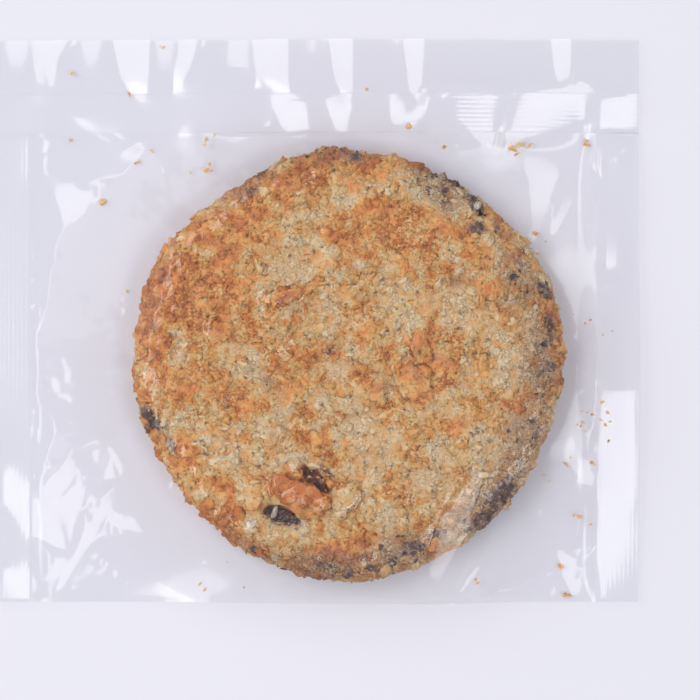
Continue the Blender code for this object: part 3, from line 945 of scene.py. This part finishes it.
def looked_up(grid, x, y):
    """The height between the grid's places."""
    column = np.clip((x - grid_x[0]) / GRID_STEP, 0, len(grid_x) - 1.001)
    row = np.clip((y - grid_y[0]) / GRID_STEP, 0, len(grid_y) - 1.001)
    left, below = column.astype(int), row.astype(int)
    across, up = column - left, row - below
    lower = grid[below, left] * (1 - across) + grid[below, left + 1] * across
    upper = grid[below + 1, left] * (1 - across) + grid[below + 1, left + 1] * across
    return lower * (1 - up) + upper * up


packed_top = cast(bag_high[2] + 0.01, Vector((0, 0, -1)))
packed_under = cast(bag_low[2] - 0.01, Vector((0, 0, 1)))
print("grid of", grid_x.size, "by", grid_y.size, "heights up to", round(packed_top.max() / MM, 1), "mm")

# %% [markdown]
# The film has to clear every crumb. So the dressed cutlet's own heights are gathered on the same grid,
# widened and smoothed, as a taut film bridges the gaps between crumbs.

# %% Gather the heights of the crumbs
CRUMB_BRIDGE = 3                   # grid steps by which the film bridges around a crumb
crumb_top = np.zeros_like(packed_top)
for piece in (patty, *crumb_pieces.values()):
    points = points_of(piece)
    column = np.clip(((points[:, 0] - grid_x[0]) / GRID_STEP + 0.5).astype(int), 0, len(grid_x) - 1)
    row = np.clip(((points[:, 1] - grid_y[0]) / GRID_STEP + 0.5).astype(int), 0, len(grid_y) - 1)
    np.maximum.at(crumb_top, (row, column), points[:, 2])
for step in range(CRUMB_BRIDGE):
    wide = np.pad(crumb_top, 1)
    crumb_top = np.max([wide[1:-1, :-2], wide[1:-1, 2:], wide[:-2, 1:-1], wide[2:, 1:-1], crumb_top], 0)
print("crumbs reach", round(crumb_top.max() / MM, 1), "mm")

# %% [markdown]
# Outside the crumbs the film hangs like a tent. It bends over a shoulder near the cutlet's rim and slopes
# down to the seals, more gently on the left, where the seal is far. Over the crumbs it rises a little
# towards the middle.

# %% Lay the film over the crumbs
FILM_AIR = 0.2 * MM                # between a crumb and the film over it
CRUMB_BLUR = 1.0 * MM              # over which the film rounds off what lies under it
SHOULDER_WANDER = 3.0 * MM         # how far the bend over the cutlet's rim strays from a circle
SHOULDER_WAVES = 9 * MM
TENT_SLOPES = (0.54, 0.74)         # of the taut film: to the left and to the right
TENT_ROOM = 1.2 * MM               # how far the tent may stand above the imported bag
SHOULDER = (-4.6 * MM, 14.7 * MM)  # where the film bends down: its distance from the rim, and its height
CROWN_SLOPE = 0.05                 # of the film from there up to the middle


def grid_noise(size, seed):
    """A slow noise from about -0.5 to 0.5 at each place of the grid."""
    return np.array([[noise.noise(Vector((x / size, y / size, seed))) for x in grid_x] for y in grid_y])


across_grid, up_grid = np.meshgrid(grid_x, grid_y)
heading = np.arctan2(up_grid - centre[1], across_grid - centre[0])
from_rim = np.hypot(up_grid - centre[1], across_grid - centre[0]) - rim_at(heading)
from_rim += SHOULDER_WANDER * grid_noise(SHOULDER_WAVES, 1.5)
tent_slope = np.interp(np.cos(heading), (-1, 1), TENT_SLOPES)
tent = SHOULDER[1] - tent_slope * (from_rim - SHOULDER[0])
tent = np.minimum(tent, blurred(packed_top, FACET_BLUR) + TENT_ROOM)
crown = SHOULDER[1] - CROWN_SLOPE * (from_rim - SHOULDER[0])
hung = np.where(from_rim > SHOULDER[0], tent, np.minimum(crown, tent))
front = np.maximum(blurred(crumb_top + FILM_AIR, CRUMB_BLUR), hung)
back = blurred(packed_under, FACET_BLUR)
seal = blurred((packed_top + packed_under) / 2, FACET_BLUR)
print("the film hangs from", round(front.max() / MM, 1), "mm")

# %% [markdown]
# ## Folds
# What shows of a clear film is mostly its glints, so the folds matter as much as the film. A crumpled
# film breaks into nearly flat facets with sharp edges, and a facet shines where it leans so that it
# mirrors a light into the camera. Each facet of the photograph that shines is given as a polygon, in
# pixels of the photograph, with the light that it mirrors.

# %% Facets that shine
LEFT, RIGHT, LOW = LEFT_LIGHT, RIGHT_LIGHT, LOW_LIGHT
FACETS = (
    (LEFT, ((28, 36), (70, 36), (57, 56), (53, 82), (46, 80), (38, 60), (32, 76))),
    (LEFT, ((109, 36), (150, 36), (147, 85), (141, 100), (129, 93), (117, 72))),
    (LEFT, ((182, 36), (200, 36), (191, 64), (171, 94), (172, 70))),
    (LEFT, ((257, 36), (290, 36), (289, 97), (281, 97), (272, 87), (261, 78))),
    (LEFT, ((328, 36), (355, 36), (354, 97), (343, 97), (333, 76))),
    (LEFT, ((402, 36), (427, 36), (424, 82), (415, 101), (409, 95))),
    (LEFT, ((550, 36), (574, 36), (573, 80), (556, 82))),
    (LEFT, ((270, 97), (291, 99), (310, 103), (310, 125), (297, 131), (289, 134), (282, 131))),
    (LEFT, ((321, 101), (352, 97), (356, 107), (348, 128), (340, 136), (334, 132))),
    (LEFT, ((384, 97), (408, 94), (406, 120), (392, 124), (385, 116))),
    (RIGHT, ((447, 92), (498, 93), (497, 130), (491, 157), (485, 150), (466, 127))),
    (RIGHT, ((518, 93), (588, 81), (587, 117), (556, 127), (525, 140), (500, 156), (507, 130))),
    (LOW, ((527, 144), (584, 122), (583, 135), (563, 166), (554, 186), (540, 232), (532, 245),
        (527, 236), (529, 183), (520, 165))),
    (LOW, ((593, 138), (592, 150), (581, 190), (555, 237), (545, 237), (562, 196), (573, 163))),
    (RIGHT, ((602, 98), (638, 92), (638, 127), (601, 127))),
    (RIGHT, ((602, 153), (618, 150), (622, 190), (618, 270), (608, 275), (607, 210))),
    (LEFT, ((63, 116), (84, 120), (108, 130), (135, 146), (130, 149), (104, 137), (82, 127))),
    (LEFT, ((175, 130), (192, 126), (192, 129), (177, 134))),
    (LEFT, ((46, 191), (90, 189), (83, 212), (71, 223))),
    (LEFT, ((34, 430), (37, 430), (39, 498), (35, 498))),
    (LEFT, ((0, 470), (22, 488), (38, 502), (55, 516), (67, 551), (49, 545), (24, 531), (0, 505))),
    (LEFT, ((40, 502), (64, 496), (80, 488), (92, 473), (83, 500), (73, 526), (69, 551), (63, 520))),
    (LEFT, ((36, 498), (66, 455), (95, 440), (114, 447), (124, 466), (122, 482), (117, 470), (103, 449),
        (79, 460), (70, 476), (61, 494))),
    (LEFT, ((121, 480), (115, 500), (93, 541), (75, 567), (63, 588), (52, 596), (58, 579), (73, 553),
        (83, 529), (99, 503))),
    (LEFT, ((0, 571), (18, 570), (32, 577), (41, 593), (0, 582))),
    (LEFT, ((140, 480), (128, 497), (114, 512), (126, 494))),
    (RIGHT, ((480, 468), (482, 480), (471, 512), (467, 535), (447, 566), (435, 592), (430, 592),
        (429, 565), (438, 536), (446, 513), (461, 486))),
    (RIGHT, ((459, 548), (465, 551), (457, 582), (453, 582))),
    (RIGHT, ((479, 560), (481, 568), (470, 586), (452, 602), (464, 577))),
    (RIGHT, ((556, 440), (575, 442), (586, 460), (600, 480), (593, 488), (583, 485), (574, 473),
        (564, 462), (560, 452))),
    (RIGHT, ((534, 485), (548, 505), (557, 522), (566, 560), (576, 584), (599, 610), (584, 599),
        (568, 587), (561, 563), (549, 529), (538, 517))),
    (RIGHT, ((600, 392), (633, 389), (637, 455), (637, 500), (632, 514), (612, 537), (601, 532))),
    (RIGHT, ((594, 378), (599, 378), (598, 404), (595, 404))),
    (RIGHT, ((600, 518), (604, 563), (608, 598), (604, 600), (599, 560))),
    (RIGHT, ((588, 562), (594, 562), (596, 586), (592, 580))),
)
# Where the film stays dull between those facets
DULL = (
    ((40, 97), (262, 97), (264, 127), (180, 136), (140, 142), (100, 124), (60, 108)),
    ((52, 122), (98, 138), (140, 156), (120, 175), (66, 180), (44, 168)),
    ((362, 96), (380, 96), (382, 130), (362, 134)), ((428, 96), (446, 96), (462, 130), (430, 132)),
    ((498, 98), (514, 96), (500, 132)), ((86, 42), (104, 42), (112, 84), (92, 88)),
    ((156, 42), (178, 42), (166, 82), (152, 88)), ((206, 42), (252, 42), (254, 84), (200, 86)),
    ((592, 196), (600, 196), (604, 300), (590, 330)), ((585, 330), (597, 335), (594, 372), (586, 372)),
    ((-15, 508), (24, 538), (46, 552), (46, 567), (20, 564), (-15, 564)),
    ((-15, 420), (28, 450), (28, 482), (-15, 462)), ((577, 150), (600, 150), (601, 345), (577, 345)),
)
DULL_SLOPE, DULL_FIRMNESS = -0.03, 8.0
print(len(FACETS), "facets shine and", len(DULL), "places stay dull")

# %% Cover the grid with a polygon, and find the slope that mirrors a light
SUBSAMPLES = (-1 / 3, 0.0, 1 / 3)  # of a grid step


def cover(corners):
    """How much of each step of the grid lies in a polygon, from 0 to 1."""
    places = np.array([from_pixel(*corner) for corner in corners])
    low_x, low_y = places.min(0) - 2 * GRID_STEP
    high_x, high_y = places.max(0) + 2 * GRID_STEP
    columns = np.flatnonzero((grid_x > low_x) & (grid_x < high_x))
    rows = np.flatnonzero((grid_y > low_y) & (grid_y < high_y))
    inner_x, inner_y = np.meshgrid(grid_x[columns], grid_y[rows])
    found = np.zeros_like(inner_x)
    for move_x in SUBSAMPLES:
        for move_y in SUBSAMPLES:
            x, y = inner_x + move_x * GRID_STEP, inner_y + move_y * GRID_STEP
            crossings = np.zeros(x.shape, bool)
            for (x1, y1), (x2, y2) in zip(places, np.roll(places, -1, 0)):
                crossings ^= ((y1 > y) != (y2 > y)) & (x < (x2 - x1) * (y - y1) / (y2 - y1 + 1e-12) + x1)
            found += crossings / len(SUBSAMPLES) ** 2
    covered = np.zeros((len(grid_y), len(grid_x)))
    covered[rows[0]:rows[-1] + 1, columns[0]:columns[-1] + 1] = found
    return covered, places


def mirror_slope(place, light):
    """The slope at which the film mirrors a light into the camera."""
    place = Vector((place[0], place[1], SCALE_PLANE))
    half = (light - place).normalized() + (camera_place - place).normalized()
    return -half.x / half.z, -half.y / half.z


# %% [markdown]
# The facets' slopes are asked for, and everywhere else the film keeps its own. The film then settles:
# a solver finds the heights whose slopes come closest, holds the facets firmly and lets the film between
# them give, while a weak pull keeps it near where it lay.

# %% The solver
SETTLE_STEPS = 400


def settle(heights, slopes_x, slopes_y, firmness, pull):
    """The heights whose slopes come closest to those asked for, by conjugate gradients."""
    firm_x = (firmness[:, 1:] + firmness[:, :-1]) / 2
    firm_y = (firmness[1:] + firmness[:-1]) / 2

    def pushed(step_x, step_y):
        out = np.zeros_like(heights)
        out[:, :-1] -= step_x * firm_x
        out[:, 1:] += step_x * firm_x
        out[:-1] -= step_y * firm_y
        out[1:] += step_y * firm_y
        return out

    def applied(z):
        return pushed(z[:, 1:] - z[:, :-1], z[1:] - z[:-1]) + pull * z

    rise_x = (slopes_x[:, 1:] + slopes_x[:, :-1]) / 2 * GRID_STEP
    rise_y = (slopes_y[1:] + slopes_y[:-1]) / 2 * GRID_STEP
    wanted = pushed(rise_x, rise_y)
    scale = 4 * firmness + pull
    found = heights.copy()
    left_over = wanted + pull * heights - applied(found)
    eased = left_over / scale
    direction = eased.copy()
    size = (left_over * eased).sum()
    for step in range(SETTLE_STEPS):
        moved = applied(direction)
        share = size / (direction * moved).sum()
        found += share * direction
        left_over -= share * moved
        eased = left_over / scale
        new_size = (left_over * eased).sum()
        direction = eased + new_size / size * direction
        size = new_size
    return found


# %% [markdown]
# Before the facets, the film is drawn in to the seals, and small crinkles are laid where it bends. The
# seals and the header are kept nearly flat.

# %% Crinkle the film and keep the seals calm
SEAL_RAMP, FOLD_RAMP = 2.5 * MM, 1.0 * MM  # over which the film parts beside a seal, and at the fold
CRINKLE_SIZE, CRINKLE_DEPTH = 2.0 * MM, 0.30 * MM
FINE_BLUR, BROAD_BLUR = 0.8 * MM, 2.4 * MM  # the film bends where these two differ
FULL_BEND = 0.12 * MM              # and creases fully where they differ by this much
CREASE_BLUR = 1.0 * MM
CALM_SLOPE, SEAL_SLOPE = 0.10, 0.03  # the steepest lean of the header and of the side seals
inside = np.minimum.reduce([
    across_grid - (bag_low[0] + SIDE_SEAL), (bag_high[0] - SIDE_SEAL) - across_grid, SEAL_LOWER - up_grid])
inside = np.clip(inside / SEAL_RAMP, 0, 1) * np.clip((up_grid - bag_low[1]) / FOLD_RAMP, 0, 1) ** 0.5
taut = seal + (front - seal) * inside
bending = np.abs(blurred(taut, FINE_BLUR) - blurred(taut, BROAD_BLUR))
creasing = np.clip(blurred(bending, CREASE_BLUR) / FULL_BEND, 0, 1) * (inside > 0)
taut = taut + CRINKLE_DEPTH * creasing * grid_noise(CRINKLE_SIZE, 4.5)
slopes_y, slopes_x = np.gradient(taut, GRID_STEP)
on_side_seal = (across_grid < bag_low[0] + SIDE_SEAL) | (across_grid > bag_high[0] - SIDE_SEAL)
calm = np.where(on_side_seal, SEAL_SLOPE, CALM_SLOPE)
slopes_x = np.where(inside > 0, slopes_x, np.clip(slopes_x, -calm, calm))
print(round((creasing > 0.5).mean() * 100), "percent of the film is creased")

# %% Let the film settle
FACET_FIRMNESS = 40.0
SETTLE_REACH = 7.0 * MM            # how far a facet's push spreads
CRUMB_PULL = 3.0                   # how firmly the film keeps to the crumbs under it
FREE_BLUR, FREE_LEAST = 1.2 * MM, 0.25   # how far beside a facet the film is free of the crumbs
LIFT_BLUR = 2.5 * MM
LAYER_GAP = 0.05 * MM
firmness, lift, faceted = np.ones_like(taut), np.zeros_like(taut), np.zeros_like(taut)
for light, corners in FACETS:
    share, places = cover(corners)
    slope_x, slope_y = mirror_slope(places.mean(0), light)
    width, length = np.ptp(places, 0)
    rise = (abs(slope_x) * width + abs(slope_y) * length) / 2
    slopes_x += (slope_x - slopes_x) * share
    slopes_y += (slope_y - slopes_y) * share
    firmness += (FACET_FIRMNESS - firmness) * share
    lift = np.maximum(lift, share * rise)
    faceted = np.maximum(faceted, share)
for corners in DULL:
    share = cover(corners)[0] * (1 - faceted)
    slopes_x += (DULL_SLOPE - slopes_x) * share
    slopes_y += -slopes_y * share
    firmness += (DULL_FIRMNESS - firmness) * share
free = blurred(faceted, FREE_BLUR) > FREE_LEAST
held = (from_rim < SHOULDER[0]) & ~free
pull = np.where(held, CRUMB_PULL, (GRID_STEP / SETTLE_REACH) ** 2)
settled = settle(taut + blurred(lift, LIFT_BLUR), slopes_x, slopes_y, firmness, pull)
back = settled + (back - settled) * inside
front = np.maximum(settled, back + LAYER_GAP)
print("the folds lift the film by up to", round((front - taut).max() / MM, 1), "mm")

# %% [markdown]
# ## Film sheets
# A sheet starts as a flat grid. Its rows and columns are moved to where detail is needed, close together
# over the ribs and further apart elsewhere, and then each point is lifted to the film's height.

# %% Make a sheet of film
FLOOR_GAP = 0.06 * MM


def film_sheet(name, xs, ys, height_at, thickness=0.0):
    """A sheet over these columns and rows. A fused seal gets a thickness, a single film doesn't."""
    bpy.ops.object.select_all(action="DESELECT")
    bpy.ops.mesh.primitive_grid_add(x_subdivisions=len(xs) - 1, y_subdivisions=len(ys) - 1, size=1.0)
    sheet = added(name)
    flat = points_of(sheet)
    x = xs[np.rint((flat[:, 0] + 0.5) * (len(xs) - 1)).astype(int)]
    y = ys[np.rint((flat[:, 1] + 0.5) * (len(ys) - 1)).astype(int)]
    move_points(sheet, np.stack([x, y, np.maximum(height_at(x, y), FLOOR_GAP + thickness)], 1))
    if thickness:
        wall = sheet.modifiers.new("wall", "SOLIDIFY")
        wall.thickness = thickness
        wall.offset = -1.0
        apply_modifiers(sheet)
    only(sheet)
    bpy.ops.object.shade_smooth()
    print(name, count(sheet), "triangles")
    return sheet


def spaced(start, end, step):
    return np.linspace(start, end, max(2, round((end - start) / step) + 1))


RIB_PITCH = 1.0 * MM
TOP_RIB_HEIGHT, SIDE_RIB_HEIGHT = 0.012 * MM, 0.006 * MM
RIB_STEP = 0.166 * MM
BACK_STEP, COARSE_STEP = 1.5 * MM, 1.0 * MM  # between points where the film is plain
SEAL_THICKNESS = 0.16 * MM
left_inner, right_inner = bag_low[0] + SIDE_SEAL, bag_high[0] - SIDE_SEAL
front_film = film_sheet(
    "front_film", spaced(left_inner, right_inner, GRID_STEP), spaced(bag_low[1], SEAL_LOWER, GRID_STEP),
    lambda x, y: looked_up(front, x, y))
back_film = film_sheet(
    "back_film", spaced(left_inner, right_inner, BACK_STEP), spaced(bag_low[1], SEAL_LOWER, BACK_STEP),
    lambda x, y: looked_up(back, x, y))


def ribbed(x, y):
    """Ribs along the band of the top seal, and across each side seal."""
    top = TOP_RIB_HEIGHT * np.sin(2 * math.pi * y / RIB_PITCH) * (y >= SEAL_LOWER)
    side = SIDE_RIB_HEIGHT * np.sin(2 * math.pi * x / RIB_PITCH) * ((x <= left_inner) | (x >= right_inner))
    return looked_up(front, x, y) + top + side


fine_left = spaced(bag_low[0], left_inner, RIB_STEP)
fine_right = spaced(right_inner, bag_high[0], RIB_STEP)
seal_xs = np.concatenate([fine_left[:-1], spaced(left_inner, right_inner, COARSE_STEP), fine_right[1:]])
seal_ys = spaced(SEAL_LOWER, SEAL_UPPER, RIB_STEP)
side_ys = spaced(bag_low[1], SEAL_LOWER, COARSE_STEP)
top_seal = film_sheet("top_seal", seal_xs, seal_ys, ribbed, SEAL_THICKNESS)
left_seal = film_sheet("left_seal", fine_left, side_ys, ribbed, SEAL_THICKNESS)
right_seal = film_sheet("right_seal", fine_right, side_ys, ribbed, SEAL_THICKNESS)

# %% [markdown]
# Above the top seal the two layers are loose. The front one lifts a little towards its free edge, and the
# back one lies flatter.

# %% Header
HEADER_LIFT = 0.03                 # slope of the front layer
LAYERS_PART = 6 * MM               # above the seal, over which the back layer comes to lie flat
header_xs = spaced(bag_low[0], bag_high[0], GRID_STEP)
header_ys = spaced(SEAL_UPPER, bag_high[1], GRID_STEP)


def header_front_height(x, y):
    return looked_up(front, x, y) + (y - SEAL_UPPER) * HEADER_LIFT


def header_back_height(x, y):
    share = np.clip((y - SEAL_UPPER) / LAYERS_PART, 0, 1)
    return looked_up(front, x, y) * (1 - share) + looked_up(seal, x, y) * share


header_front = film_sheet("header_front", header_xs, header_ys, header_front_height)
header_back = film_sheet("header_back", header_xs, header_ys, header_back_height)

# %% [markdown]
# Crumbs that fell off lie loose between the two films, singly and in small groups.

# %% Loose crumbs in the bag
# (x, y in pixels, size in mm, how many, how far they spread in pixels, how brown)
LOOSE = (
    (68, 138, 1.2, 1, 0, 0.6), (210, 137, 1, 6, 7, 0.3), (132, 157, 0.9, 2, 8, 0.6),
    (148, 150, 1, 2, 4, 0.2), (101, 199, 1.5, 2, 2, 0.45), (208, 165, 1.1, 5, 4, 0.5),
    (189, 171, 0.9, 1, 0, 0.3), (162, 46, 1, 2, 2, 0.2), (69, 73, 0.9, 3, 3, 0.3),
    (127, 92, 1.1, 2, 2, 0.6), (520, 146, 1.6, 8, 7, 0.5), (591, 141, 1.4, 3, 3, 0.5),
    (408, 127, 1.6, 2, 1, 0.5), (445, 147, 1, 2, 2, 0.6), (537, 233, 1.2, 2, 3, 0.6),
    (600, 420, 0.9, 6, 20, 0.4), (586, 424, 0.8, 9, 10, 0.3), (567, 464, 1, 3, 6, 0.4),
    (594, 463, 1.1, 2, 3, 0.2), (550, 482, 0.9, 2, 3, 0.2), (577, 518, 1.2, 2, 5, 0.5),
    (592, 525, 1.1, 1, 1, 0.7), (562, 568, 1.3, 2, 3, 0.7), (565, 598, 1, 3, 8, 0.3),
    (572, 606, 1.3, 1, 2, 0.5), (477, 583, 1.1, 2, 3, 0.4), (540, 250, 0.8, 4, 12, 0.5),
    (205, 590, 0.9, 2, 20, 0.4), (240, 575, 0.8, 3, 20, 0.5), (120, 300, 0.7, 3, 30, 0.4),
    (585, 330, 0.7, 5, 30, 0.5), (350, 142, 0.8, 4, 60, 0.4),
)
LOOSE_MARGIN = 1.5 * MM
loose_places, loose_sizes, loose_shades = [], [], []
for x, y, size, how_many, spread, shade in LOOSE:
    for number in range(how_many):
        place = from_pixel(x + spread * draw.normal(0, 0.6), y + spread * draw.normal(0, 0.6))
        place = np.clip(place, bag_low[:2] + LOOSE_MARGIN, bag_high[:2] - LOOSE_MARGIN)
        grown = size * (0.5 + 0.5 * draw.random()) * MM
        height = float(looked_up(back, place[:1], place[1:])[0]) + 0.3 * grown
        loose_places.append((place[0], place[1], height))
        loose_sizes.append(grown)
        loose_shades.append(0.6 * shade + draw.normal(0, 0.10))
many = len(loose_places)
kinds = draw.integers(0, len(crumb_models), many)
upright = np.tile([0.0, 0.0, 1.0], (many, 1))
turns = turned_to(upright, draw.random(many) * 2 * math.pi, draw.random(many) * 0.4)
values = {"shade": np.array(loose_shades), "skin": np.zeros(many)}
loose_crumbs = copies(
    "loose_crumbs", crumb_models, kinds, np.array(loose_places), turns, np.array(loose_sizes), values)
loose_crumbs.data.materials.append(bread_crumb)
print(many, "loose crumbs")

# %% [markdown]
# A clear film lets nearly all light through. About a thirtieth comes back where it is seen straight on,
# and far more at a glancing angle, so the share grows with the tilt. The fused seals are a little milky.

# %% Film material
FILM_TINT = (0.975, 0.975, 0.979, 1.0)  # what one layer lets through


def film_material(name, least_shine, roughness, milkiness):
    """Clear polypropylene film: see-through, with a soft mirror that grows at a glancing angle."""
    material = new_material(name)
    tree = material.node_tree
    facing = add_node(tree, "LayerWeight", {}, {"Blend": 0.5}).outputs["Facing"]
    grazing = reckoned(tree, "POWER", facing, 5.0)
    shine = reckoned(tree, "MULTIPLY_ADD", grazing, 1.0 - least_shine, least_shine)
    clear = add_node(tree, "BsdfTransparent", {}, {"Color": FILM_TINT})
    milk = add_node(tree, "BsdfDiffuse", {}, {"Color": colour("F0F0F8")})
    body = add_node(tree, "MixShader", {}, {0: milkiness, 1: clear.outputs[0], 2: milk.outputs[0]})
    mirror = add_node(tree, "BsdfGlossy", {}, {"Roughness": roughness, "Color": (1.0, 1.0, 1.0, 1.0)})
    shader = add_node(tree, "MixShader", {}, {0: shine, 1: body.outputs[0], 2: mirror.outputs[0]})
    add_node(tree, "OutputMaterial", {}, {"Surface": shader.outputs[0]})
    return material


clear_film = film_material("clear_polypropylene_film", 0.034, 0.12, 0.004)
fused_film = film_material("fused_film", 0.026, 0.15, 0.03)
for piece in (front_film, back_film, header_front, header_back):
    piece.data.materials.append(clear_film)
for piece in (top_seal, left_seal, right_seal):
    piece.data.materials.append(fused_film)
print("a layer of film lets", FILM_TINT[0], "of the light through")

# %% [markdown]
# ## Hand over
# Each piece rides on the one body and stands for the imported solid that it replaces.

# %% Ride and replace
for piece in (patty, squid_flesh, skin_scraps, *crumb_pieces.values()):
    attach(piece, "root")
    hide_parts("cutlet")
for piece in (front_film, back_film, top_seal, left_seal, right_seal, header_front, header_back):
    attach(piece, "root")
    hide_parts("bag")
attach(loose_crumbs, "root")
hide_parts("cutlet")
